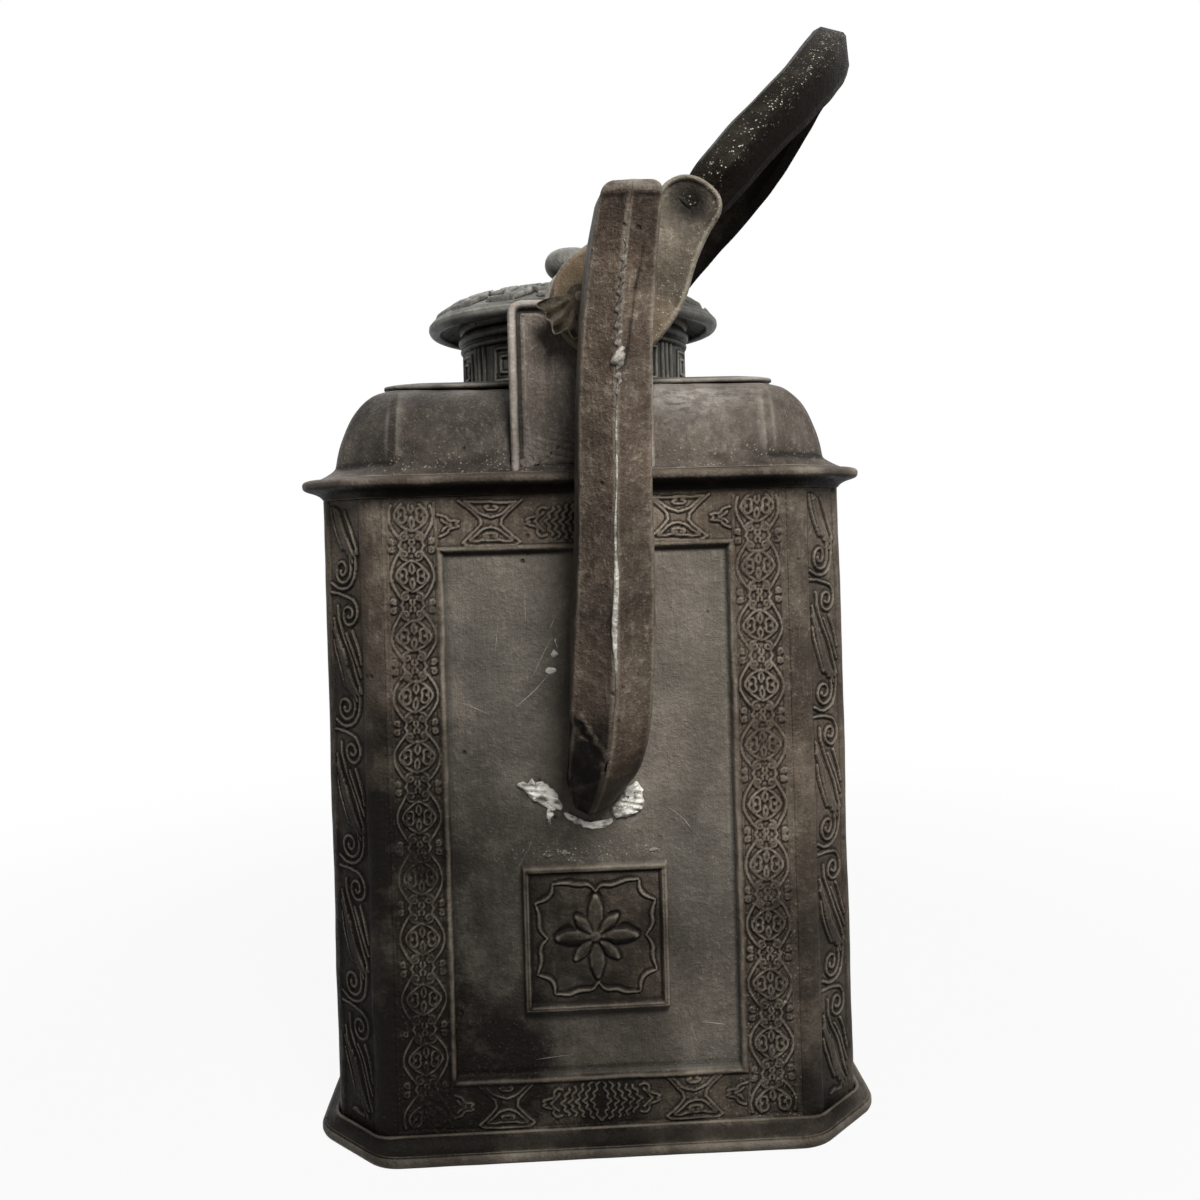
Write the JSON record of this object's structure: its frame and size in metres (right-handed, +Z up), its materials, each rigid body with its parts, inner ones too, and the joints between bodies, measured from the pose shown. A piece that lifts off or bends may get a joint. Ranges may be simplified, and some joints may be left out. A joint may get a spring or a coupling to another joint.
{
  "type": "wine warmer",
  "caption": "Square pewter wine warmer with cut corners, relief borders, domed shoulder, folded front spout, swing handle on ears, and a lift-out flask under a round lid.",
  "frame": {"origin": "middle of the foot's flat underside", "axes": "+Z up, -Y towards the spout, +X to the right of someone facing the spout"},
  "size_m": [0.1223, 0.1392, 0.2355],
  "materials": {
    "pewter_body": "aged pewter with a dark brown patina, worn brighter on raised edges",
    "pewter_lid": "aged pewter, grey-green and duller than the body",
    "handle_bronze": "olive-brown patina, dark and speckled on the grip",
    "bright_solder": "bare solder, dull silver"
  },
  "bodies": {
    "canister": {"foot_moulding": "pewter_body", "base_plate": "pewter_body", "shoulder_rim": "pewter_body", "shoulder_dome": "pewter_body", "shoulder_top_plate": "pewter_body", "front_ear": "pewter_body", "rear_ear": "pewter_body", "spout_left_shell": "pewter_body", "spout_right_shell": "pewter_body", "front_panel": "pewter_body", "front_plaque": "pewter_body", "right_panel": "pewter_body", "right_plaque": "pewter_body", "back_panel": "pewter_body", "back_plaque": "pewter_body", "left_panel": "pewter_body", "left_plaque": "pewter_body", "front_right_corner": "pewter_body", "back_right_corner": "pewter_body", "back_left_corner": "pewter_body", "front_left_corner": "pewter_body", "neck_collar": "pewter_lid", "front_pivot_pin": "handle_bronze", "rear_pivot_pin": "handle_bronze", "spout_seam_bead": "bright_solder", "spout_root_solder": "bright_solder"},
    "flask": {"flask_wall": "pewter_body", "flask_base": "pewter_body", "flask_flange": "pewter_body"},
    "lid": {"lid_shell": "pewter_lid", "lid_sleeve": "pewter_lid", "lid_knob": "pewter_lid"},
    "handle": {"front_arm": "handle_bronze", "rear_arm": "handle_bronze", "front_leaf": "handle_bronze", "rear_leaf": "handle_bronze", "handle_grip": "handle_bronze"}
  },
  "joints": [
    {"name": "flask_lift", "type": "slide", "parent": "canister", "child": "flask", "axis": [0, 0, 1], "range_m": [0, 0.16]},
    {"name": "lid_lift", "type": "slide", "parent": "flask", "child": "lid", "axis": [0, 0, 1], "range_m": [0, 0.04]},
    {"name": "handle_swing", "type": "hinge", "parent": "canister", "child": "handle", "pos_m": [0, 0, 0.1645], "axis": [0, 1, 0], "range_deg": [-137, 52]}
  ]
}
